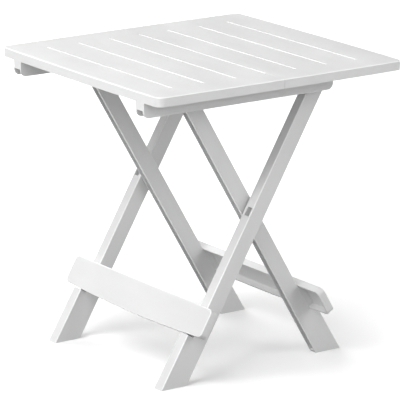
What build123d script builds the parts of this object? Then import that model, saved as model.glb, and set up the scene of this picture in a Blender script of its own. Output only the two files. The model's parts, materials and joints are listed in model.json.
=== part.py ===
from build123d import *
import os
from math import cos, radians, sin

# Small folding side table in moulded white polypropylene, in millimetres.
#
# The table stands on the floor plane z = 0, centred under its top. The slats, the panel
# seam and every pivot run along Y, and the crossed legs fold in the XZ plane. The outer
# leg pair rises to the right and carries the hinge of the top. The inner leg pair rises
# to the left, and its cross bar carries the other end of the two rails.

os.makedirs("parts", exist_ok=True)

# ---- driving dimensions -------------------------------------------------------------
TOP_LENGTH = 460.0  # X, across the slats
TOP_WIDTH = 440.0  # Y, along the slats
HEIGHT = 473.5
SIDE_BOW = 2.5  # how far the middle of each side stands out past its ends
CORNER_RADIUS = 13.0

SKIRT_DEPTH = 14.5
SKIRT_WALL = 2.6
DECK_THICKNESS = 3.2
RIB_WALL = 1.8
EDGE_ROUND = 1.4

CENTRE_SLAT = 56.0  # from the seam to the first groove
SLAT_PITCH = 58.0
GROOVE_END = 171.5  # half the length of a groove
GROOVE_WIDTH = 3.6
GROOVE_DEPTH = 1.5
SEAM_GAP = 0.5
RIB_PITCH_Y = 43.0
RIB_ROWS = 9
SCREW_BOSS_RADIUS = 4.5
DOWEL_BOSS_RADIUS = 5.2
DOWEL_FLOOR = 2.0  # boss material beyond the end of a dowel

LEG_ANGLE = 30.5  # from the vertical
CROSS_X = -3.5
CROSS_Z = 249.5
PIVOT_Z = 445.0  # height of the two upper axes
LEG_WIDTH = 27.0
LEG_ROUND = 1.5
CHANNEL_DEPTH = 10.0  # of the open channels along the legs' lower narrow edge
CHANNEL_WALL = 3.0
CHANNEL_TOP_GAP = 18.0  # solid leg below the upper axis
CHANNEL_CROSS_GAP = 17.0  # from the crossing to where the channels get their full depth
CHANNEL_CROSS_DEPTH = 7.0  # beside the pivot of the inner legs; the outer legs are solid there
CHANNEL_SOLE = 3.0  # height of solid foot above the floor
OUTER_LEG_Y = (139.2, 158.5)  # inner and outer face of the outer pair
INNER_LEG_Y = (119.7, 136.2)  # inner and outer face of the inner pair
WINDOW_ALONG = (-8.0, 6.0)  # window for the pivot clip, along the leg from the crossing
WINDOW_Y = (145.2, 155.6)
WINDOW_BACK = 6.0  # how far the window reaches past the middle of the leg

BOARD_LENGTH = 375.0
BOARD_TOP = -162.0  # along the leg, from the crossing
BOARD_BOTTOM = -208.0
BOARD_BOW = 5.0
BOARD_DEPTH = 13.0
BOARD_WALL = 2.6
BOARD_CORNER = 8.0
BOARD_STEP = -211.2  # where the foot below the board starts
BEARING_INSET = 2.5  # from a leg's side face to the rib that bears on it
PEG_RADIUS = 3.5
PEG_DEPTH = 12.0
PEG_INSETS = (13.0, 35.0)  # down from the top edge of the board
STEP_FOOT_EXTRA = 1.5  # the lower leg widens by this much on its way to the floor

RAIL_Y = (159.5, 180.0)  # inboard and outboard face
RAIL_WALL = 2.5
RAIL_BOTTOM = 435.0
RAIL_START = -228.4
RAIL_CORNER = 10.0
RAIL_SLOT_Z = 450.8
RAIL_RIB_Z = 452.2
RAIL_SLOT_CORNER = 3.0
RAIL_EDGE_ROUND = 0.8
RAIL_RIB_START = -205.0
RAIL_RIB_PITCH = 28.0
RAIL_RIBS = 12
HINGE_BOSS_RADIUS = 11.0
END_PLATE_BOTTOM = 446.5

BAR_DIAMETER = 11.0
BAR_WALL = 1.4
BAR_HALF = 166.0
PIVOT_PIN_DIAMETER = 9.0
HINGE_PIN_DIAMETER = 8.0
RUNNING_CLEARANCE = 0.08  # on the radius
PRESS_CLEARANCE = 0.02  # on the radius, for pieces that do not turn
STOP_CLEARANCE = 0.3  # between the bar and the rail at its stop
CLIP_CLEARANCE = 0.1  # on each side of a clip in its groove
TIP_CLEARANCE = 0.5  # between a peg or screw and the bottom of its hole
BAR_CAP_RADIUS = 6.2
BAR_CAP_HEAD = 2.2
BAR_CAP_PLUG = 9.0
BAR_CAP_ROUND = 1.2
RIVET_RADIUS = 1.6
RIVET_SINK = 0.4  # how far the rivet ends lie below the leg's faces
PIVOT_PIN_START = 123.7  # bottom of the pivot bore in the inner leg
PIVOT_PIN_TIP = 153.8
PIVOT_PIN_CHAMFER = 0.8
PIVOT_GROOVE_Y = (147.0, 149.2)
PIVOT_GROOVE_RADIUS = 3.2
PIVOT_CLIP_RADIUS = 5.7
WASHER_RADIUS = 10.0
WASHER_GAPS = (0.1, 0.35)  # to the inner and to the outer leg
HINGE_HEAD_RADIUS = 6.5
HINGE_HEAD_ROUND = 1.0
HINGE_HEAD_Y = (162.3, 164.8)
HINGE_GROOVE_Y = (137.3, 138.5)
HINGE_GROOVE_RADIUS = 3.0
HINGE_CLIP_RADIUS = 6.0
HINGE_TIP_Y = 136.9
CLIP_MOUTH = 1.5  # width of a clip's mouth, in inner radii
SCREW_X = {"left": (-205.0, -145.0, -30.0), "right": (30.0, 92.0)}
SCREW_SHANK = 3.4
SCREW_LENGTH = 11.0
SCREW_HEAD_RADIUS = 3.6
SCREW_HEAD_HEIGHT = 2.2
SCREW_HEAD_ROUND = 1.0
SCREW_HOLE_GAP = 0.2  # on the radius, where a screw passes the rail
RECESS_LENGTH = 3.6
RECESS_WIDTH = 0.9
RECESS_DEPTH = 1.1
DOWEL_Y = (-110.0, 0.0, 110.0)
DOWEL_Z = 464.9
DOWEL_DIAMETER = 5.0
DOWEL_HALF = 11.0
OVERCUT = 1.0  # how far a cutting tool runs past the material

# ---- derived places -----------------------------------------------------------------
SKIRT_BOTTOM = HEIGHT - SKIRT_DEPTH
DECK_UNDER = HEIGHT - DECK_THICKNESS
LEG_HALF = LEG_WIDTH / 2
PIVOT_RADIUS = (PIVOT_Z - CROSS_Z) / cos(radians(LEG_ANGLE))
PIVOT_OFFSET = PIVOT_RADIUS * sin(radians(LEG_ANGLE))
HINGE_X = CROSS_X + PIVOT_OFFSET
BAR_X = CROSS_X - PIVOT_OFFSET
RAIL_END = HINGE_X + RAIL_CORNER
RAIL_MID_Y = (RAIL_Y[0] + RAIL_Y[1]) / 2
LEAN_X = cos(radians(LEG_ANGLE))
LEAN_Z = sin(radians(LEG_ANGLE))
GROOVES = [CENTRE_SLAT + SLAT_PITCH * i for i in range(3)]
BOARD_HALF = BOARD_LENGTH / 2
LEG_END = -(CROSS_Z / cos(radians(LEG_ANGLE)) + LEG_WIDTH)
CHANNELS = (  # start and end along the leg from the crossing, and depth
    (-(CROSS_Z - LEG_HALF * LEAN_Z - CHANNEL_SOLE) / LEAN_X, -CHANNEL_CROSS_GAP, CHANNEL_DEPTH),
    (CHANNEL_CROSS_GAP, PIVOT_RADIUS - CHANNEL_TOP_GAP, CHANNEL_DEPTH),
)
CROSSING_CHANNEL = (-CHANNEL_CROSS_GAP, CHANNEL_CROSS_GAP, CHANNEL_CROSS_DEPTH)
PEG_SPOTS = [BOARD_TOP - inset for inset in PEG_INSETS]
ALL_SCREW_X = SCREW_X["left"] + SCREW_X["right"]


def outer_plane(y):
    """Plane along an outer leg at depth y: local X square to the leg, local Y up the leg."""
    return Plane(origin=(CROSS_X, y, CROSS_Z), x_dir=(LEAN_X, 0, -LEAN_Z), z_dir=(0, -1, 0))


def inner_plane(y):
    """Plane along an inner leg at depth y, with the same local directions."""
    return Plane(origin=(CROSS_X, y, CROSS_Z), x_dir=(LEAN_X, 0, LEAN_Z), z_dir=(0, -1, 0))


def finish(piece, label):
    """Labels a finished piece and writes it to its own file."""
    piece.label = label
    export_step(piece, f"parts/{label}.step")


def round_y(x, z, radius, y_near, y_far, mode=Mode.ADD):
    """A cylinder along Y in the current part, between two depths."""
    with BuildSketch(Plane(origin=(x, y_far, z), x_dir=(1, 0, 0), z_dir=(0, -1, 0))) as disc:
        Circle(radius)
    extrude(disc.sketch, amount=y_far - y_near, mode=mode)


def span(side, pair):
    """Near and far Y of a pair of distances from the middle, on the front or rear side."""
    low, high = sorted((side * pair[0], side * pair[1]))
    return low, high


# ---- top: two ribbed panels ---------------------------------------------------------
def panel_outline(inset=0.0):
    """Plan of the whole top: four slightly bowed sides with rounded corners."""
    half_x = TOP_LENGTH / 2 - inset
    half_y = TOP_WIDTH / 2 - inset
    with BuildSketch() as plan:
        with BuildLine():
            corners = [
                (half_x - SIDE_BOW, half_y - SIDE_BOW),
                (-half_x + SIDE_BOW, half_y - SIDE_BOW),
                (-half_x + SIDE_BOW, -half_y + SIDE_BOW),
                (half_x - SIDE_BOW, -half_y + SIDE_BOW),
            ]
            middles = [(0, half_y), (-half_x, 0), (0, -half_y), (half_x, 0)]
            for i, middle in enumerate(middles):
                ThreePointArc(corners[i], middle, corners[(i + 1) % 4])
        make_face()
        fillet(plan.vertices(), CORNER_RADIUS - inset)
    return plan.sketch


def top_panel(side, label):
    """One half of the top. side is -1 for the left half and 1 for the right half."""
    seam = side * SEAM_GAP / 2
    far = side * TOP_LENGTH / 2
    with BuildPart() as panel:
        with BuildSketch(Plane.XY.offset(SKIRT_BOTTOM)):
            add(panel_outline())
        extrude(amount=SKIRT_DEPTH)
        rim = panel.faces().sort_by(Axis.Z)[-1].edges()
        fillet(rim, EDGE_ROUND)

        with BuildSketch(Plane.XY.offset(SKIRT_BOTTOM)):
            add(panel_outline(SKIRT_WALL))
        extrude(amount=SKIRT_DEPTH - DECK_THICKNESS, mode=Mode.SUBTRACT)

        # ribs under the grooves, under the slat centres and across them
        reach = TOP_WIDTH / 2 - SKIRT_WALL
        lines = [abs(seam) + SKIRT_WALL / 2]
        lines += [CENTRE_SLAT / 2] + GROOVES + [g + SLAT_PITCH / 2 for g in GROOVES]
        with BuildSketch(Plane.XY.offset(SKIRT_BOTTOM)):
            for line in lines:
                wall = SKIRT_WALL if line == lines[0] else RIB_WALL
                with Locations((side * line, 0)):
                    Rectangle(wall, 2 * reach - 2 * SIDE_BOW)
            for row in range(RIB_ROWS):
                with Locations((0, (row - RIB_ROWS // 2) * RIB_PITCH_Y)):
                    Rectangle(TOP_LENGTH - 2 * SKIRT_WALL - 2 * SIDE_BOW, RIB_WALL)
        extrude(amount=SKIRT_DEPTH - DECK_THICKNESS)

        # screw bosses over the rails and dowel bosses along the seam
        bosses = [(x, y) for x in SCREW_X[label] for y in (-RAIL_MID_Y, RAIL_MID_Y)]
        with BuildSketch(Plane.XY.offset(SKIRT_BOTTOM)):
            with Locations(*bosses):
                Circle(SCREW_BOSS_RADIUS)
        extrude(amount=SKIRT_DEPTH - DECK_THICKNESS)
        for y in DOWEL_Y:
            with BuildSketch(Plane(origin=(seam, y, DOWEL_Z), z_dir=(side, 0, 0))):
                Circle(DOWEL_BOSS_RADIUS)
            extrude(amount=DOWEL_HALF + DOWEL_FLOOR)

        # the other half of the outline is cut away at the seam
        with BuildSketch(Plane.XY.offset(SKIRT_BOTTOM)):
            with Locations((seam - side * TOP_LENGTH / 2, 0)):
                Rectangle(TOP_LENGTH, TOP_WIDTH)
        extrude(amount=SKIRT_DEPTH, mode=Mode.SUBTRACT)

        # grooves between the slats, and half of the wider groove that follows the seam
        with BuildSketch(Plane.XY.offset(HEIGHT)):
            for groove in GROOVES:
                with Locations((side * groove, 0)):
                    SlotOverall(2 * GROOVE_END, GROOVE_WIDTH, rotation=90)
            SlotOverall(2 * GROOVE_END, GROOVE_WIDTH, rotation=90)
        extrude(amount=-GROOVE_DEPTH, mode=Mode.SUBTRACT)

        with BuildSketch(Plane.XY.offset(SKIRT_BOTTOM)):
            with Locations(*bosses):
                Circle(SCREW_SHANK / 2)
        extrude(amount=SCREW_LENGTH - RAIL_WALL, mode=Mode.SUBTRACT)
        for y in DOWEL_Y:
            with BuildSketch(Plane(origin=(seam, y, DOWEL_Z), z_dir=(side, 0, 0))):
                Circle(DOWEL_DIAMETER / 2)
            extrude(amount=DOWEL_HALF, mode=Mode.SUBTRACT)
    finish(panel.part, f"top_panel_{label}")


def seam_dowels():
    """Three dowels that line up the two panels along the seam."""
    with BuildPart() as dowels:
        for y in DOWEL_Y:
            with BuildSketch(Plane(origin=(-DOWEL_HALF, y, DOWEL_Z), z_dir=(1, 0, 0))):
                Circle(DOWEL_DIAMETER / 2 - PRESS_CLEARANCE)
            extrude(amount=2 * DOWEL_HALF)
    finish(dowels.part, "seam_dowels")


# ---- rails under the top ------------------------------------------------------------
def rail(side, label):
    """Channel open at the bottom, with its inboard wall cut away where the bar slides."""
    low, high = span(side, RAIL_Y)
    inboard = side * (RAIL_Y[0] + RAIL_WALL / 2)
    with BuildPart() as channel:
        with BuildSketch(Plane.XZ.offset(-high)) as profile:
            with BuildLine():
                Polyline(
                    (RAIL_START, RAIL_BOTTOM),
                    (RAIL_END, RAIL_BOTTOM),
                    (RAIL_END, SKIRT_BOTTOM),
                    (RAIL_START, SKIRT_BOTTOM),
                    close=True,
                )
            make_face()
            fillet(profile.vertices().group_by(Axis.Y)[0], RAIL_CORNER)
        extrude(amount=RAIL_Y[1] - RAIL_Y[0])

        # hollow of the channel, open at the bottom and behind the end plate
        hollow_low = RAIL_BOTTOM - RAIL_WALL
        with BuildSketch(Plane.XZ.offset(-high + RAIL_WALL)):
            with BuildLine():
                Polyline(
                    (RAIL_START - RAIL_WALL, hollow_low),
                    (RAIL_END + RAIL_WALL, hollow_low),
                    (RAIL_END + RAIL_WALL, PIVOT_Z),
                    (RAIL_END - RAIL_WALL, PIVOT_Z),
                    (RAIL_END - RAIL_WALL, SKIRT_BOTTOM - RAIL_WALL),
                    (RAIL_START + RAIL_WALL, SKIRT_BOTTOM - RAIL_WALL),
                    (RAIL_START + RAIL_WALL, END_PLATE_BOTTOM),
                    (RAIL_START - RAIL_WALL, END_PLATE_BOTTOM),
                    close=True,
                )
            make_face()
        extrude(amount=RAIL_Y[1] - RAIL_Y[0] - 2 * RAIL_WALL, mode=Mode.SUBTRACT)

        # slide for the cross bar: everything below it goes, from its stop to the hinge
        slot_start = BAR_X - BAR_DIAMETER / 2 - STOP_CLEARANCE
        with BuildSketch(Plane.XZ.offset(-inboard - RAIL_WALL)) as slide:
            with BuildLine():
                Polyline(
                    (slot_start, RAIL_BOTTOM - OVERCUT),
                    (HINGE_X, RAIL_BOTTOM - OVERCUT),
                    (HINGE_X, RAIL_SLOT_Z),
                    (slot_start, RAIL_SLOT_Z),
                    close=True,
                )
            make_face()
            fillet(slide.vertices().group_by(Axis.Y)[-1].sort_by(Axis.X)[0], RAIL_SLOT_CORNER)
            with Locations((HINGE_X, PIVOT_Z)):
                Circle(HINGE_BOSS_RADIUS, mode=Mode.SUBTRACT)
        extrude(amount=2 * RAIL_WALL, mode=Mode.SUBTRACT)

        # cross ribs high in the channel
        ribs = [RAIL_RIB_START + RAIL_RIB_PITCH * i for i in range(RAIL_RIBS)]
        for x in ribs:
            if min(abs(x - screw) for screw in ALL_SCREW_X) < HINGE_HEAD_RADIUS:
                continue
            with BuildSketch(Plane.XY.offset(RAIL_RIB_Z)):
                with Locations((x, side * RAIL_MID_Y)):
                    Rectangle(RIB_WALL, RAIL_Y[1] - RAIL_Y[0] - RAIL_WALL)
            extrude(amount=SKIRT_BOTTOM - RAIL_RIB_Z - RAIL_WALL / 2)

        outer_face = channel.faces().filter_by(Axis.Y).sort_by(Axis.Y)[-1 if side > 0 else 0]
        low_edges = outer_face.edges().filter_by(lambda edge: edge.center().Z < SKIRT_BOTTOM - OVERCUT)
        fillet(low_edges, RAIL_EDGE_ROUND)

        hinge_bore = HINGE_PIN_DIAMETER / 2 + PRESS_CLEARANCE
        wall = span(side, (RAIL_Y[0] - OVERCUT, RAIL_Y[0] + RAIL_WALL + OVERCUT))
        round_y(HINGE_X, PIVOT_Z, hinge_bore, wall[0], wall[1], Mode.SUBTRACT)
        with BuildSketch(Plane.XY.offset(SKIRT_BOTTOM)):
            with Locations(*[(x, side * RAIL_MID_Y) for x in ALL_SCREW_X]):
                Circle(SCREW_SHANK / 2 + SCREW_HOLE_GAP)
        extrude(amount=-RAIL_WALL, mode=Mode.SUBTRACT)
    finish(channel.part, f"rail_{label}")


def rail_screws(side, label):
    """Pan-head screws that hold one rail up against both panels."""
    seat = SKIRT_BOTTOM - RAIL_WALL
    spots = [(x, side * RAIL_MID_Y) for x in ALL_SCREW_X]
    with BuildPart() as screws:
        with BuildSketch(Plane.XY.offset(seat - SCREW_HEAD_HEIGHT)):
            with Locations(*spots):
                Circle(SCREW_HEAD_RADIUS)
        extrude(amount=SCREW_HEAD_HEIGHT)
        heads = screws.faces().group_by(Axis.Z)[0].edges()
        fillet(heads, SCREW_HEAD_ROUND)
        with BuildSketch(Plane.XY.offset(seat)):
            with Locations(*spots):
                Circle(SCREW_SHANK / 2 - PRESS_CLEARANCE)
        extrude(amount=SCREW_LENGTH - TIP_CLEARANCE)
        with BuildSketch(Plane.XY.offset(seat - SCREW_HEAD_HEIGHT)):
            with Locations(*spots):
                Rectangle(RECESS_LENGTH, RECESS_WIDTH)
                Rectangle(RECESS_WIDTH, RECESS_LENGTH)
        extrude(amount=RECESS_DEPTH, mode=Mode.SUBTRACT)
    finish(screws.part, f"rail_screws_{label}")


# ---- legs ---------------------------------------------------------------------------
def leg_blank(board_side):
    """Outline of a leg in its own plane. board_side is the side that the foot board sits on."""
    step = board_side * (LEG_HALF + BOARD_DEPTH)
    foot = board_side * (LEG_HALF + BOARD_DEPTH + STEP_FOOT_EXTRA)
    with BuildSketch() as outline:
        with BuildLine():
            Polyline(
                (-board_side * LEG_HALF, PIVOT_RADIUS),
                (-board_side * LEG_HALF, LEG_END),
                (foot, LEG_END),
                (step, BOARD_STEP),
                (board_side * LEG_HALF, BOARD_STEP),
                (board_side * LEG_HALF, PIVOT_RADIUS),
            )
            ThreePointArc(
                (board_side * LEG_HALF, PIVOT_RADIUS),
                (0, PIVOT_RADIUS + LEG_HALF),
                (-board_side * LEG_HALF, PIVOT_RADIUS),
            )
        make_face()
    return outline.sketch


def leg_body(leg, plane, thickness, board_side):
    """Leg bar with rounded long edges, cut flat at the floor."""
    with BuildSketch(plane) as bar:
        add(leg_blank(board_side))
    extrude(bar.sketch, amount=thickness)
    fillet(leg.faces().filter_by(Axis.Y).edges(), LEG_ROUND)
    with BuildSketch(Plane.XY) as floor:
        Rectangle(TOP_LENGTH, TOP_WIDTH)
    extrude(floor.sketch, amount=-4 * LEG_WIDTH, mode=Mode.SUBTRACT)


def leg_channels(plane_of, face_y, open_side, channels):
    """Channels that are open at the narrow edge that looks down."""
    width = face_y[1] - face_y[0] - 2 * CHANNEL_WALL
    for start, end, depth in channels:
        across = open_side * (LEG_HALF + (OVERCUT - depth) / 2)
        with BuildSketch(plane_of(face_y[1] - CHANNEL_WALL)) as trough:
            with Locations((across, (start + end) / 2)):
                Rectangle(depth + OVERCUT, end - start)
        extrude(trough.sketch, amount=width, mode=Mode.SUBTRACT)


def peg_holes(plane_of, face_y, side):
    """Two blind sockets in the leg, square to its edge, for the pegs of the foot board."""
    middle = (face_y[0] + face_y[1]) / 2
    for along in PEG_SPOTS:
        base = plane_of(middle)
        mouth = base.from_local_coords(Vector(side * LEG_HALF, along, 0))
        with BuildSketch(Plane(origin=mouth, z_dir=base.x_dir * -side)) as socket:
            Circle(PEG_RADIUS)
        extrude(socket.sketch, amount=PEG_DEPTH, mode=Mode.SUBTRACT)


def leg_outer(side, label):
    """Outer leg, with the hinge bore at its top and the windowed pivot at the crossing."""
    low, high = span(side, OUTER_LEG_Y)
    with BuildPart() as leg:
        leg_body(leg, outer_plane(high), OUTER_LEG_Y[1] - OUTER_LEG_Y[0], -1)
        leg_channels(outer_plane, (low, high), 1, CHANNELS)

        hinge_bore = HINGE_PIN_DIAMETER / 2 + RUNNING_CLEARANCE
        round_y(HINGE_X, PIVOT_Z, hinge_bore, low - OVERCUT, high + OVERCUT, Mode.SUBTRACT)
        bore = span(side, (OUTER_LEG_Y[0] - OVERCUT, WINDOW_Y[1]))
        pivot_bore = PIVOT_PIN_DIAMETER / 2 + RUNNING_CLEARANCE
        round_y(CROSS_X, CROSS_Z, pivot_bore, bore[0], bore[1], Mode.SUBTRACT)

        # window through the upper narrow edge, where the pivot clip goes on
        window = span(side, WINDOW_Y)
        with BuildSketch(outer_plane(window[1])):
            with BuildLine():
                Polyline(
                    (-LEG_HALF - OVERCUT, WINDOW_ALONG[0]),
                    (WINDOW_BACK, WINDOW_ALONG[0]),
                    (WINDOW_BACK, WINDOW_ALONG[1]),
                    (-LEG_HALF - OVERCUT, WINDOW_ALONG[1]),
                    close=True,
                )
            make_face()
        extrude(amount=WINDOW_Y[1] - WINDOW_Y[0], mode=Mode.SUBTRACT)
        peg_holes(outer_plane, (low, high), -1)
    finish(leg.part, f"leg_outer_{label}")


def leg_inner(side, label):
    """Inner leg, with the cross bar bore at its top and a blind pivot bore."""
    low, high = span(side, INNER_LEG_Y)
    with BuildPart() as leg:
        leg_body(leg, inner_plane(high), INNER_LEG_Y[1] - INNER_LEG_Y[0], 1)
        leg_channels(inner_plane, (low, high), -1, (*CHANNELS, CROSSING_CHANNEL))

        bar_bore = BAR_DIAMETER / 2 + PRESS_CLEARANCE
        round_y(BAR_X, PIVOT_Z, bar_bore, low - OVERCUT, high + OVERCUT, Mode.SUBTRACT)
        bore = span(side, (PIVOT_PIN_START, INNER_LEG_Y[1] + OVERCUT))
        pin_bore = PIVOT_PIN_DIAMETER / 2 + PRESS_CLEARANCE
        round_y(CROSS_X, CROSS_Z, pin_bore, bore[0], bore[1], Mode.SUBTRACT)

        # rivet hole across the top end
        middle = inner_plane((low + high) / 2)
        mouth = middle.from_local_coords(Vector(-LEG_WIDTH, PIVOT_RADIUS, 0))
        with BuildSketch(Plane(origin=mouth, z_dir=middle.x_dir)):
            Circle(RIVET_RADIUS)
        extrude(amount=2 * LEG_WIDTH, mode=Mode.SUBTRACT)
        peg_holes(inner_plane, (low, high), 1)
    finish(leg.part, f"leg_inner_{label}")


# ---- foot boards --------------------------------------------------------------------
def board_outline(inset=0.0):
    """Board as seen square on: straight top edge, lower edge bowed down."""
    half = BOARD_HALF - inset
    with BuildSketch() as outline:
        with BuildLine():
            Polyline(
                (-half, BOARD_BOTTOM + inset),
                (-half, BOARD_TOP - inset),
                (half, BOARD_TOP - inset),
                (half, BOARD_BOTTOM + inset),
            )
            ThreePointArc(
                (half, BOARD_BOTTOM + inset),
                (0, BOARD_BOTTOM - BOARD_BOW + inset),
                (-half, BOARD_BOTTOM + inset),
            )
        make_face()
        fillet(outline.vertices(), BOARD_CORNER - inset)
    return outline.sketch


def foot_board(plane_of, side, legs_y, label):
    """Tray-shaped board across one leg pair, with its flanges turned to the legs."""
    base = plane_of(0)
    inward = base.x_dir * -side
    face = base.from_local_coords(Vector(side * (LEG_HALF + BOARD_DEPTH), 0, 0))
    # local X along the world's Y, local Y up the leg, and Z away from the legs
    outside = Plane(origin=face, x_dir=base.y_dir.cross(inward * -1), z_dir=inward * -1)
    with BuildPart() as board:
        with BuildSketch(outside):
            add(board_outline())
        extrude(amount=-BOARD_DEPTH)
        outer_face = board.faces().sort_by(Axis(face, inward))[0]
        fillet(outer_face.edges(), LEG_ROUND)
        with BuildSketch(outside.offset(-BOARD_WALL)):
            add(board_outline(BOARD_WALL))
        extrude(amount=-BOARD_DEPTH, mode=Mode.SUBTRACT)

        # pairs of ribs that bear on each leg
        leg_mid = (legs_y[0] + legs_y[1]) / 2
        bearing = (legs_y[1] - legs_y[0]) / 2 - BEARING_INSET
        rib_spots = [s * leg_mid + t * bearing for s in (-1, 1) for t in (-1, 1)]
        height = BOARD_TOP - BOARD_BOTTOM + BOARD_BOW
        centre = (BOARD_TOP + BOARD_BOTTOM - BOARD_BOW) / 2
        with BuildSketch(outside.offset(-BOARD_WALL)):
            with Locations(*[(x, centre) for x in rib_spots]):
                Rectangle(RIB_WALL, height)
            add(board_outline(BOARD_WALL / 2), mode=Mode.INTERSECT)
        extrude(amount=-(BOARD_DEPTH - BOARD_WALL))

        # pegs that push into the legs
        pegs = [(s * leg_mid, along) for s in (-1, 1) for along in PEG_SPOTS]
        with BuildSketch(outside.offset(-BOARD_WALL)):
            with Locations(*pegs):
                Circle(PEG_RADIUS - PRESS_CLEARANCE)
        extrude(amount=-(BOARD_DEPTH - BOARD_WALL + PEG_DEPTH - TIP_CLEARANCE))
    finish(board.part, label)


# ---- pins, bar and clips ------------------------------------------------------------
def cross_bar():
    """Tube through both inner legs. Its ends carry the rails."""
    with BuildPart() as bar:
        round_y(BAR_X, PIVOT_Z, BAR_DIAMETER / 2, -BAR_HALF, BAR_HALF)
        bore = BAR_DIAMETER / 2 - BAR_WALL
        round_y(BAR_X, PIVOT_Z, bore, -BAR_HALF - OVERCUT, BAR_HALF + OVERCUT, Mode.SUBTRACT)
        for side in (-1, 1):
            low, high = span(side, INNER_LEG_Y)
            middle = inner_plane((low + high) / 2)
            mouth = middle.from_local_coords(Vector(-LEG_HALF, PIVOT_RADIUS, 0))
            with BuildSketch(Plane(origin=mouth, z_dir=middle.x_dir)):
                Circle(RIVET_RADIUS)
            extrude(amount=LEG_WIDTH, mode=Mode.SUBTRACT)
    finish(bar.part, "cross_bar")


def bar_cap(side, label):
    """Rounded plug in the end of the cross bar, which runs inside the rail."""
    head = span(side, (BAR_HALF, BAR_HALF + BAR_CAP_HEAD))
    plug = span(side, (BAR_HALF - BAR_CAP_PLUG, BAR_HALF))
    with BuildPart() as cap:
        round_y(BAR_X, PIVOT_Z, BAR_CAP_RADIUS, head[0], head[1])
        tip = cap.edges().sort_by(Axis.Y)[-1 if side > 0 else 0]
        fillet(tip, BAR_CAP_ROUND)
        plug_radius = BAR_DIAMETER / 2 - BAR_WALL - PRESS_CLEARANCE
        round_y(BAR_X, PIVOT_Z, plug_radius, plug[0], plug[1])
    finish(cap.part, f"bar_cap_{label}")


def bar_rivet(side, label):
    """Rivet that locks the cross bar in the top end of one inner leg."""
    low, high = span(side, INNER_LEG_Y)
    middle = inner_plane((low + high) / 2)
    start = middle.from_local_coords(Vector(-LEG_HALF + RIVET_SINK, PIVOT_RADIUS, 0))
    with BuildPart() as rivet:
        with BuildSketch(Plane(origin=start, z_dir=middle.x_dir)):
            Circle(RIVET_RADIUS - PRESS_CLEARANCE)
        extrude(amount=LEG_WIDTH - 2 * RIVET_SINK)
    finish(rivet.part, f"bar_rivet_{label}")


def ring_groove(x, z, outer, inner, ends):
    """Cuts a groove round a pin of the current part, between two depths."""
    with BuildSketch(Plane(origin=(x, ends[1], z), x_dir=(1, 0, 0), z_dir=(0, -1, 0))) as ring:
        Circle(outer)
        Circle(inner, mode=Mode.SUBTRACT)
    extrude(ring.sketch, amount=ends[1] - ends[0], mode=Mode.SUBTRACT)


def pivot_pin(side, label):
    """Pin pressed into the inner leg, on which the outer leg turns."""
    body = span(side, (PIVOT_PIN_START + STOP_CLEARANCE, PIVOT_PIN_TIP))
    groove = span(side, PIVOT_GROOVE_Y)
    with BuildPart() as pin:
        round_y(CROSS_X, CROSS_Z, PIVOT_PIN_DIAMETER / 2, body[0], body[1])
        tip = pin.edges().filter_by(GeomType.CIRCLE).sort_by(Axis.Y)[-1 if side > 0 else 0]
        chamfer(tip, PIVOT_PIN_CHAMFER)
        ring_groove(CROSS_X, CROSS_Z, PIVOT_PIN_DIAMETER, PIVOT_GROOVE_RADIUS, groove)
    finish(pin.part, f"pivot_pin_{label}")


def snap_clip(plane, outer, groove_radius, thickness, label):
    """C-shaped clip that snaps into the groove of a pin. Its mouth is along local -X."""
    inner = groove_radius + PRESS_CLEARANCE
    with BuildPart() as clip:
        with BuildSketch(plane):
            Circle(outer)
            Circle(inner, mode=Mode.SUBTRACT)
            with Locations((-outer, 0)):
                Rectangle(2 * outer, CLIP_MOUTH * inner, mode=Mode.SUBTRACT)
        extrude(amount=thickness)
    finish(clip.part, label)


def pivot_clip(side, label):
    """Clip on the pivot pin, reached through the window of the outer leg."""
    low, high = span(side, (PIVOT_GROOVE_Y[0] + CLIP_CLEARANCE, PIVOT_GROOVE_Y[1] - CLIP_CLEARANCE))
    plane = outer_plane(high)
    snap_clip(plane, PIVOT_CLIP_RADIUS, PIVOT_GROOVE_RADIUS, high - low, f"pivot_clip_{label}")


def pivot_washer(side, label):
    """Spacer between the outer and inner leg at the crossing."""
    ring = span(side, (INNER_LEG_Y[1] + WASHER_GAPS[0], OUTER_LEG_Y[0] - WASHER_GAPS[1]))
    with BuildPart() as washer:
        round_y(CROSS_X, CROSS_Z, WASHER_RADIUS, ring[0], ring[1])
        bore = PIVOT_PIN_DIAMETER / 2 + PRESS_CLEARANCE
        round_y(CROSS_X, CROSS_Z, bore, ring[0] - OVERCUT, ring[1] + OVERCUT, Mode.SUBTRACT)
    finish(washer.part, f"pivot_washer_{label}")


def hinge_pin(side, label):
    """Headed pin, fast in the rail, that turns in the top of the outer leg."""
    head = span(side, HINGE_HEAD_Y)
    shank = span(side, (HINGE_TIP_Y, HINGE_HEAD_Y[0]))
    groove = span(side, HINGE_GROOVE_Y)
    with BuildPart() as pin:
        round_y(HINGE_X, PIVOT_Z, HINGE_HEAD_RADIUS, head[0], head[1])
        rim = pin.edges().sort_by(Axis.Y)[-1 if side > 0 else 0]
        fillet(rim, HINGE_HEAD_ROUND)
        round_y(HINGE_X, PIVOT_Z, HINGE_PIN_DIAMETER / 2, shank[0], shank[1])
        ring_groove(HINGE_X, PIVOT_Z, HINGE_PIN_DIAMETER, HINGE_GROOVE_RADIUS, groove)
    finish(pin.part, f"hinge_pin_{label}")


def hinge_clip(side, label):
    """Clip on the tip of the hinge pin, in the gap between the outer and inner legs."""
    low, high = span(side, (HINGE_GROOVE_Y[0] + CLIP_CLEARANCE, HINGE_GROOVE_Y[1] - CLIP_CLEARANCE))
    plane = Plane(origin=(HINGE_X, high, PIVOT_Z), x_dir=(1, 0, 0), z_dir=(0, -1, 0))
    snap_clip(plane, HINGE_CLIP_RADIUS, HINGE_GROOVE_RADIUS, high - low, f"hinge_clip_{label}")


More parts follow.
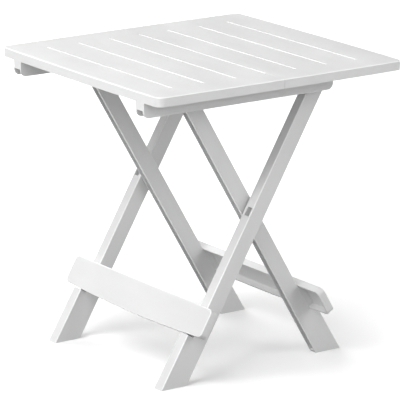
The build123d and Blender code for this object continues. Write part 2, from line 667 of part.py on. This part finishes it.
# ---- the table ----------------------------------------------------------------------
top_panel(-1, "left")
top_panel(1, "right")
seam_dowels()
foot_board(outer_plane, -1, OUTER_LEG_Y, "foot_board_outer")
foot_board(inner_plane, 1, INNER_LEG_Y, "foot_board_inner")
cross_bar()
for side, label in ((-1, "front"), (1, "rear")):
    rail(side, label)
    rail_screws(side, label)
    leg_outer(side, label)
    leg_inner(side, label)
    bar_cap(side, label)
    bar_rivet(side, label)
    pivot_pin(side, label)
    pivot_clip(side, label)
    pivot_washer(side, label)
    hinge_pin(side, label)
    hinge_clip(side, label)
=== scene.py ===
import json
from math import cos, radians, sin

import bpy
from mathutils import Matrix, Vector


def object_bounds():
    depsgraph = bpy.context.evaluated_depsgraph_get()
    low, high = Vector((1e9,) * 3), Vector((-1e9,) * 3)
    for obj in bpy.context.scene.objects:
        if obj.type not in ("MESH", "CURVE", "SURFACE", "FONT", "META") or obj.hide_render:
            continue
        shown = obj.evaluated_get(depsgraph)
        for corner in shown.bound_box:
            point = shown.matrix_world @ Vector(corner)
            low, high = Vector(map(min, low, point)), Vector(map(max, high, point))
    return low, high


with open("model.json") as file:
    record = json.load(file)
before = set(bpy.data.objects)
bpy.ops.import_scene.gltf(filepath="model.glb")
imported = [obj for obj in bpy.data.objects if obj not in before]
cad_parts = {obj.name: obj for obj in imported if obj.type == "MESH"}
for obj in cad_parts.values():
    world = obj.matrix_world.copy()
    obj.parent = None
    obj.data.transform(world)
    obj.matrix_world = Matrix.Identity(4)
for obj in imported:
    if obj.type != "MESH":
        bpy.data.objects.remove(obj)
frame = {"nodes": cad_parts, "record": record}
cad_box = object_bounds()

# Looks of a small folding side table in moulded white polypropylene. Metres, in the frame
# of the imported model: the floor is z = 0, the slats run along Y and the legs cross in XZ.

# ---- camera -------------------------------------------------------------------------
CAMERA_TARGET = Vector((0.0003, 0.0008, 0.2381))
CAMERA_DISTANCE = 5.2748
CAMERA_AZIMUTH = -35.087
CAMERA_ELEVATION = 14.895
CAMERA_ROLL = 0.145
CAMERA_REACH = 100.0
SENSOR_WIDTH = 36.0
LENS = 302.96

# ---- light --------------------------------------------------------------------------
SOFTBOX_SIZE = 3.0
SOFTBOX_DISTANCE = 4.0
SOFTBOXES = {  # direction from the table, power in watts, and whether it shows in reflections
    "key_upper_left": ((-0.66, -0.10, 0.74), 116.0, True),
    "rim_behind": ((0.0, 0.80, 0.60), 92.0, True),
    "fill_left": ((-0.95, -0.10, 0.30), 44.0, False),
    "fill_front_left": ((-0.49, -0.78, 0.39), 34.0, False),
    "fill_front_right": ((0.49, -0.78, 0.39), 68.0, False),
    "fill_right": ((0.61, 0.20, 0.77), 24.0, False),
}
PURE_WHITE = (1.0, 1.0, 1.0, 1.0)
SKY_STRENGTH = 1.0

# ---- floor --------------------------------------------------------------------------
FLOOR_SIZE = 60.0
FLOOR_GREY = 1.0
FLOOR_GLOW = 0.05  # of the paper under the table
SURROUND_GLOW = 0.36  # painted light: lifts the paper round the table to white and fades the table's shadow there
SURROUND = (0.22, 0.44)  # distances from the origin between which the glow grows to that
SWEEP = (2.0, 4.0)  # distances between which the paper turns fully white
BOUNCE_DROP = 0.002  # how far the second sheet lies below the floor
BOUNCE_GREY = 0.28
PAPER_PATCH = 0.4  # size of the patches in its roughness
PAPER_LIMITS = (0.3, 0.7)
PAPER_ROUGHNESS = (0.85, 0.95)

# ---- moulded plastic ----------------------------------------------------------------
WHITE = (0.80, 0.80, 0.80)
PLASTIC_IOR = 1.49
GRAIN_SIZE = 0.0007  # one cell of the moulded grain
GRAIN_DEPTH = 0.00005
GRAIN_SMOOTHNESS = 0.6
FLOW_SIZE = 0.045  # soft waves left by the mould
FLOW_DEPTH = 0.00035
EVEN_FLOW = (1.0, 1.0, 1.0)
# the limits of a pattern are the noise values at which it begins and is complete
CLOUD_LIMITS = (0.3, 0.7)
CLOUD_DARK = 0.975  # each shade is a share of the piece's colour
CLOUD_LIGHT = 1.015
CLOUD_GLOSSY = 0.04  # how much less rough the darkest clouds are
CLOUD_MATT = 0.05  # how much rougher the lightest clouds are
SPECK_SIZE = 3 * GRAIN_SIZE
SPECK_LIMITS = (0.66, 0.8)
SPECK_STRENGTH = 0.35
SPECK_SHADE = 0.93
SCUFF_SIZE = 0.010
SCUFF_LIMITS = (0.62, 0.74)
SCUFF_STRENGTH = 0.4
SCUFF_SHADE = 0.95
SCUFF_ROUGHNESS = 0.12
PAINTED_EDGE_HIGHLIGHT = (1.0, 1.0, 1.0)  # painted highlight: edges are lightened to white
EDGE_POLISH = 0.2  # how much less rough they are
# limits of the cosine between the surface's normal and the axis that the widest faces look in
EDGE_START = (0.12, 0.3)  # no edge up to the first, a full one from the second
EDGE_STOP = (0.99, 0.95)  # a full edge up to the second, none from the first
GROOVE_STRENGTH = 0.75  # a groove's painted highlight, as a share of an edge's
CORNER_REACH = 0.004  # how far the painted shade reaches out of corners
CORNER_SAMPLES = 6
CORNER_LIMITS = (0.85, 0.35)  # how open a corner is where the painted shade begins and where it is complete
# painted shade in corners, as a share of the piece's colour
PAINTED_CORNER_SHADE = 0.6

# ---- coated and plated metal --------------------------------------------------------
COAT_SHADE = 0.98
COAT_ROUGHNESS = (0.28, 0.5)  # where it is whole and where it is rubbed
PEEL_SIZE = 0.0016
PEEL_DEPTH = 0.00008
RUB_SIZE = 0.006
RUB_LIMITS = (0.55, 0.75)
RUB_SHADE = 0.9
ZINC = (0.62, 0.63, 0.65)
LINE_SIZE = 0.0006
LINE_STRETCH = (1.0, 0.15, 1.0)
LINE_LIMITS = (0.3, 0.7)
LINE_ROUGHNESS = (0.22, 0.38)
LINE_DEPTH = 0.00003
DULL_SIZE = 0.003
DULL_LIMITS = (0.45, 0.7)
DULL_SHADE = 0.8
DULL_ROUGHNESS = 0.15

# ---- places and directions on the table ---------------------------------------------
DECK = cad_box[1][2]  # height of the top's flat face
GROOVES_X = 0.20  # the grooves lie inside this half length and half width
GROOVES_Y = 0.18
GROOVE_DEPTH = 0.0025
GROOVE_LIP = 0.0002  # kept clear below the deck
GROOVE_BOX = (
    (-GROOVES_X, -GROOVES_Y, DECK - GROOVE_DEPTH),
    (GROOVES_X, GROOVES_Y, DECK - GROOVE_LIP),
)
TILT = radians(30.5)  # of the legs and of the boards, from the vertical
OUTER_BOARD_FACE = (cos(TILT), 0.0, -sin(TILT))
INNER_BOARD_FACE = (cos(TILT), 0.0, sin(TILT))
ALONG_Y = (0.0, 1.0, 0.0)
ALONG_Z = (0.0, 0.0, 1.0)

# ---- sockets of the Mix node that carry colours -------------------------------------
COLOUR_A = 6
COLOUR_B = 7
COLOUR_RESULT = 2


# ---- node helpers -------------------------------------------------------------------
class Nodes:
    """A material's node tree, with short calls for the nodes that the finishes share."""

    def __init__(self, name):
        self.material = bpy.data.materials.new(name)
        self.material.use_nodes = True
        self.tree = self.material.node_tree
        self.shader = self.tree.nodes["Principled BSDF"]
        coordinates = self.tree.nodes.new("ShaderNodeTexCoord").outputs
        self.place = coordinates["Object"]
        self.facing = coordinates["Normal"]

    def link(self, source, target):
        self.tree.links.new(source, target)

    def stretched(self, scale):
        """The object's own coordinates, scaled per axis."""
        mapping = self.tree.nodes.new("ShaderNodeMapping")
        mapping.inputs["Scale"].default_value = scale
        self.link(self.place, mapping.inputs["Vector"])
        return mapping.outputs["Vector"]

    def noise(self, size, detail=2.0, roughness=0.5, distortion=0.0, coords=None):
        texture = self.tree.nodes.new("ShaderNodeTexNoise")
        texture.inputs["Scale"].default_value = 1.0 / size
        texture.inputs["Detail"].default_value = detail
        texture.inputs["Roughness"].default_value = roughness
        texture.inputs["Distortion"].default_value = distortion
        self.link(coords or self.place, texture.inputs["Vector"])
        return texture.outputs["Fac"]

    def cells(self, size):
        """Distance from the middle of the nearest cell, soft between cells."""
        texture = self.tree.nodes.new("ShaderNodeTexVoronoi")
        texture.feature = "SMOOTH_F1"
        texture.inputs["Scale"].default_value = 1.0 / size
        texture.inputs["Smoothness"].default_value = GRAIN_SMOOTHNESS
        self.link(self.place, texture.inputs["Vector"])
        return texture.outputs["Distance"]

    def spread(self, value, source, target=(0.0, 1.0)):
        """Maps a value from one range to another and clamps it."""
        remap = self.tree.nodes.new("ShaderNodeMapRange")
        for name, number in zip(("From Min", "From Max", "To Min", "To Max"), (*source, *target)):
            remap.inputs[name].default_value = number
        self.link(value, remap.inputs["Value"])
        return remap.outputs["Result"]

    def combine(self, operation, first, second=0.0):
        """The result of a Math node on two values, each a number or a socket."""
        math = self.tree.nodes.new("ShaderNodeMath")
        math.operation = operation
        for socket, value in zip(math.inputs, (first, second)):
            if isinstance(value, float):
                socket.default_value = value
            else:
                self.link(value, socket)
        return math.outputs["Value"]

    def mix(self, factor, first, second):
        """Blends two colours. Each is a colour or another mix."""
        blend = self.tree.nodes.new("ShaderNodeMix")
        blend.data_type = "RGBA"
        self.link(factor, blend.inputs["Factor"])
        for socket, colour in ((blend.inputs[COLOUR_A], first), (blend.inputs[COLOUR_B], second)):
            if isinstance(colour, tuple):
                socket.default_value = (*colour, 1.0)
            else:
                self.link(colour, socket)
        return blend.outputs[COLOUR_RESULT]

    def rounds(self, across):
        """1 on edges that turn away from an axis of the object, 0 on faces along or across it."""
        turn = self.tree.nodes.new("ShaderNodeVectorMath")
        turn.operation = "DOT_PRODUCT"
        self.link(self.facing, turn.inputs[0])
        turn.inputs[1].default_value = across
        cosine = self.combine("ABSOLUTE", turn.outputs["Value"])
        return self.combine("MULTIPLY", self.spread(cosine, EDGE_START), self.spread(cosine, EDGE_STOP))

    def inside(self, low, high):
        """1 inside a box of the object and 0 outside it."""
        split = self.tree.nodes.new("ShaderNodeSeparateXYZ")
        self.link(self.place, split.inputs["Vector"])
        mask = 1.0
        for axis, least, most in zip(split.outputs, low, high):
            mask = self.combine("MULTIPLY", self.combine("GREATER_THAN", axis, least), mask)
            mask = self.combine("MULTIPLY", self.combine("LESS_THAN", axis, most), mask)
        return mask

    def crevices(self, reach):
        """1 deep in a corner and 0 in the open."""
        occlusion = self.tree.nodes.new("ShaderNodeAmbientOcclusion")
        occlusion.samples = CORNER_SAMPLES
        occlusion.inputs["Distance"].default_value = reach
        return self.spread(occlusion.outputs["AO"], CORNER_LIMITS)

    def bump(self, height, depth, below=None):
        """A relief of a given depth, on top of another one if there is one."""
        relief = self.tree.nodes.new("ShaderNodeBump")
        relief.inputs["Strength"].default_value = 1.0
        relief.inputs["Distance"].default_value = depth
        self.link(height, relief.inputs["Height"])
        if below:
            self.link(below, relief.inputs["Normal"])
        return relief.outputs["Normal"]


def shade(colour, factor):
    """A colour made darker or lighter."""
    return tuple(channel * factor for channel in colour)


# ---- finishes -----------------------------------------------------------------------
def moulded_plastic(
    name, across, colour=WHITE, grain=1.0, roughness=0.36, corner_shade=0.4, flow=EVEN_FLOW, grooves=None
):
    """Satin polypropylene: cellular grain, mould flow, clouding and scuffs, with a painted highlight on
    edges and painted shade in corners.

    across is the direction that the piece's widest faces look in. grooves is a box, by its
    lowest and highest corners, in which the grooves get nearly as strong a painted highlight as the
    edges.
    """
    nodes = Nodes(name)
    clouds = nodes.noise(FLOW_SIZE, detail=3.0, coords=nodes.stretched(flow))
    specks = nodes.noise(SPECK_SIZE, detail=1.0)
    scuffs = nodes.noise(SCUFF_SIZE, detail=5.0, roughness=0.7, distortion=1.4)
    scuffed = nodes.spread(scuffs, SCUFF_LIMITS)

    cloudy = nodes.spread(clouds, CLOUD_LIMITS)
    clouded = nodes.mix(cloudy, shade(colour, CLOUD_DARK), shade(colour, CLOUD_LIGHT))
    speckles = nodes.spread(specks, SPECK_LIMITS, (0.0, SPECK_STRENGTH))
    speckled = nodes.mix(speckles, clouded, shade(colour, SPECK_SHADE))
    wear = nodes.combine("MULTIPLY", scuffed, SCUFF_STRENGTH)
    worn = nodes.mix(wear, speckled, shade(colour, SCUFF_SHADE))
    edges = nodes.rounds(across)
    if grooves:
        groove_highlight = nodes.combine("MULTIPLY", nodes.inside(*grooves), GROOVE_STRENGTH)
        edges = nodes.combine("MAXIMUM", edges, groove_highlight)
    # painted highlight: edges, and the grooves nearly as much, are lightened to white
    with_painted_light = nodes.mix(edges, worn, PAINTED_EDGE_HIGHLIGHT)
    # painted shade: darker in corners, where ambient occlusion finds them closed in
    if corner_shade:
        shaded_corners = nodes.combine("MULTIPLY", nodes.crevices(CORNER_REACH), corner_shade)
        with_painted_light = nodes.mix(shaded_corners, with_painted_light, shade(colour, PAINTED_CORNER_SHADE))
    nodes.link(with_painted_light, nodes.shader.inputs["Base Color"])

    satin = nodes.spread(clouds, CLOUD_LIMITS, (roughness - CLOUD_GLOSSY, roughness + CLOUD_MATT))
    dulled = nodes.combine("ADD", satin, nodes.combine("MULTIPLY", scuffed, SCUFF_ROUGHNESS))
    polished = nodes.combine("SUBTRACT", dulled, nodes.combine("MULTIPLY", edges, EDGE_POLISH))
    nodes.link(polished, nodes.shader.inputs["Roughness"])

    waves = nodes.bump(clouds, FLOW_DEPTH)
    pits = nodes.bump(nodes.cells(GRAIN_SIZE), GRAIN_DEPTH * grain, waves)
    scratched = nodes.bump(scuffed, -GRAIN_DEPTH, pits)
    nodes.link(scratched, nodes.shader.inputs["Normal"])
    nodes.shader.inputs["IOR"].default_value = PLASTIC_IOR
    return nodes.material


def powder_coat(name, colour):
    """Orange-peel powder coat on the cross bar, rubbed duller in patches of noise."""
    nodes = Nodes(name)
    peel = nodes.noise(PEEL_SIZE)
    rubbed = nodes.spread(nodes.noise(RUB_SIZE, detail=4.0, roughness=0.7), RUB_LIMITS)
    nodes.link(nodes.mix(rubbed, colour, shade(colour, RUB_SHADE)), nodes.shader.inputs["Base Color"])
    nodes.link(nodes.spread(rubbed, (0.0, 1.0), COAT_ROUGHNESS), nodes.shader.inputs["Roughness"])
    nodes.link(nodes.bump(peel, PEEL_DEPTH), nodes.shader.inputs["Normal"])
    return nodes.material


def zinc_plate(name, colour):
    """Bright zinc plating with fine drawing lines and a few dull patches."""
    nodes = Nodes(name)
    lines = nodes.noise(LINE_SIZE, detail=3.0, coords=nodes.stretched(LINE_STRETCH))
    dull = nodes.spread(nodes.noise(DULL_SIZE, detail=3.0), DULL_LIMITS)
    nodes.link(nodes.mix(dull, colour, shade(colour, DULL_SHADE)), nodes.shader.inputs["Base Color"])
    drawn = nodes.spread(lines, LINE_LIMITS, LINE_ROUGHNESS)
    rough = nodes.combine("ADD", drawn, nodes.combine("MULTIPLY", dull, DULL_ROUGHNESS))
    nodes.link(rough, nodes.shader.inputs["Roughness"])
    nodes.link(nodes.bump(lines, LINE_DEPTH), nodes.shader.inputs["Normal"])
    nodes.shader.inputs["Metallic"].default_value = 1.0
    return nodes.material


def floor_finish(name, grey, glow):
    """Matt studio paper, barely uneven in its roughness. A painted glow, from no lamp, grows away from
    the table and fades its shadow.
    """
    nodes = Nodes(name)
    patches = nodes.noise(PAPER_PATCH)
    rough = nodes.spread(patches, PAPER_LIMITS, PAPER_ROUGHNESS)
    nodes.link(rough, nodes.shader.inputs["Roughness"])
    nodes.shader.inputs["Base Color"].default_value = (grey, grey, grey, 1.0)
    nodes.shader.inputs["Specular IOR Level"].default_value = 0.0
    if glow:
        length = nodes.tree.nodes.new("ShaderNodeVectorMath")
        length.operation = "LENGTH"
        nodes.link(nodes.place, length.inputs[0])
        distance = length.outputs["Value"]
        # painted light: the glow fades the table's cast shadow round it
        near = nodes.spread(distance, SURROUND, (glow, SURROUND_GLOW))
        far = nodes.spread(distance, SWEEP, (0.0, 1.0 - SURROUND_GLOW))
        nodes.link(nodes.combine("ADD", near, far), nodes.shader.inputs["Emission Strength"])
        nodes.shader.inputs["Emission Color"].default_value = PURE_WHITE
    return nodes.material


FINISHES = {
    "top_plastic": moulded_plastic(
        "top_plastic_grained",
        ALONG_Z,
        roughness=0.44,
        corner_shade=0.0,
        flow=(1.0, 0.35, 1.0),
        grooves=GROOVE_BOX,
    ),
    "rail_plastic": moulded_plastic(
        "rail_plastic_satin", ALONG_Y, grain=0.6, roughness=0.38, flow=(0.4, 1.0, 1.0)
    ),
    "leg_plastic": moulded_plastic("leg_plastic_grained", ALONG_Y, flow=(1.0, 1.0, 0.5)),
    "board_plastic": moulded_plastic(
        "board_plastic_grained", OUTER_BOARD_FACE, corner_shade=0.15, flow=(1.0, 0.4, 1.0)
    ),
    "pin_plastic": moulded_plastic(
        "pin_plastic_smooth", ALONG_Y, colour=shade(WHITE, 0.95), grain=0.3, roughness=0.32
    ),
    "coated_tube": powder_coat("coated_tube_white", shade(WHITE, COAT_SHADE)),
    "zinc_steel": zinc_plate("zinc_steel_plated", ZINC),
}
# The board of the inner legs leans the other way, so its faces look in another direction.
INNER_BOARD = moulded_plastic(
    "board_plastic_grained_inner", INNER_BOARD_FACE, corner_shade=0.15, flow=(1.0, 0.4, 1.0)
)


def dress_nodes():
    """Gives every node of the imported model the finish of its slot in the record."""
    slots = {part["node"]: part["material_slot"] for part in frame["record"]["subparts"]}
    for name, node in frame["nodes"].items():
        for material_slot in node.material_slots:
            material_slot.material = INNER_BOARD if name == "foot_board_inner" else FINISHES[slots[name]]


# ---- studio -------------------------------------------------------------------------
def aim(thing, place, target):
    """Puts a light or camera at a place, looking at a target with Z up."""
    thing.location = place
    thing.rotation_mode = "QUATERNION"
    thing.rotation_quaternion = (target - place).to_track_quat("-Z", "Y")


def add_camera():
    """A long lens, rolled a little about its line of sight."""
    azimuth = radians(CAMERA_AZIMUTH)
    elevation = radians(CAMERA_ELEVATION)
    outward = Vector((sin(azimuth) * cos(elevation), -cos(azimuth) * cos(elevation), sin(elevation)))
    data = bpy.data.cameras.new("camera")
    data.sensor_width = SENSOR_WIDTH
    data.lens = LENS
    data.clip_end = CAMERA_REACH
    camera = bpy.data.objects.new("camera", data)
    bpy.context.collection.objects.link(camera)
    aim(camera, CAMERA_TARGET + outward * CAMERA_DISTANCE, CAMERA_TARGET)
    roll = Matrix.Rotation(radians(CAMERA_ROLL), 3, "Z").to_quaternion()
    camera.rotation_quaternion = camera.rotation_quaternion @ roll
    bpy.context.scene.camera = camera


def add_softbox(name, direction, power, reflected):
    """A large square lamp, which the camera doesn't see."""
    data = bpy.data.lights.new(name, "AREA")
    data.size = SOFTBOX_SIZE
    data.energy = power
    softbox = bpy.data.objects.new(name, data)
    softbox.visible_camera = False
    softbox.visible_glossy = reflected
    bpy.context.collection.objects.link(softbox)
    aim(softbox, CAMERA_TARGET + Vector(direction).normalized() * SOFTBOX_DISTANCE, CAMERA_TARGET)


def add_sky():
    """White surroundings, only seen directly and not used as a lamp."""
    world = bpy.data.worlds.new("studio")
    world.use_nodes = True
    background = world.node_tree.nodes["Background"]
    background.inputs["Color"].default_value = PURE_WHITE
    background.inputs["Strength"].default_value = SKY_STRENGTH
    world.cycles_visibility.diffuse = False
    world.cycles_visibility.glossy = False
    bpy.context.scene.world = world


def floor_sheet(name, height, grey, glow=0.0):
    """One large square of studio paper."""
    half = FLOOR_SIZE / 2
    mesh = bpy.data.meshes.new(name)
    corners = [(x, y, height) for x, y in ((-half, -half), (half, -half), (half, half), (-half, half))]
    mesh.from_pydata(corners, [], [(0, 1, 2, 3)])
    mesh.materials.append(floor_finish(name, grey, glow))
    sheet = bpy.data.objects.new(name, mesh)
    bpy.context.collection.objects.link(sheet)
    return sheet


def add_floor():
    """A white floor, and a greyer one just below it that sets how much light comes back up."""
    white = floor_sheet("floor", 0.0, FLOOR_GREY, FLOOR_GLOW)
    white.visible_diffuse = False
    white.visible_shadow = False
    bounce = floor_sheet("floor_bounce", -BOUNCE_DROP, BOUNCE_GREY)
    bounce.visible_camera = False


dress_nodes()
add_camera()
add_sky()
for name, (direction, power, reflected) in SOFTBOXES.items():
    add_softbox(name, direction, power, reflected)
add_floor()
bpy.context.scene.view_settings.view_transform = "Standard"
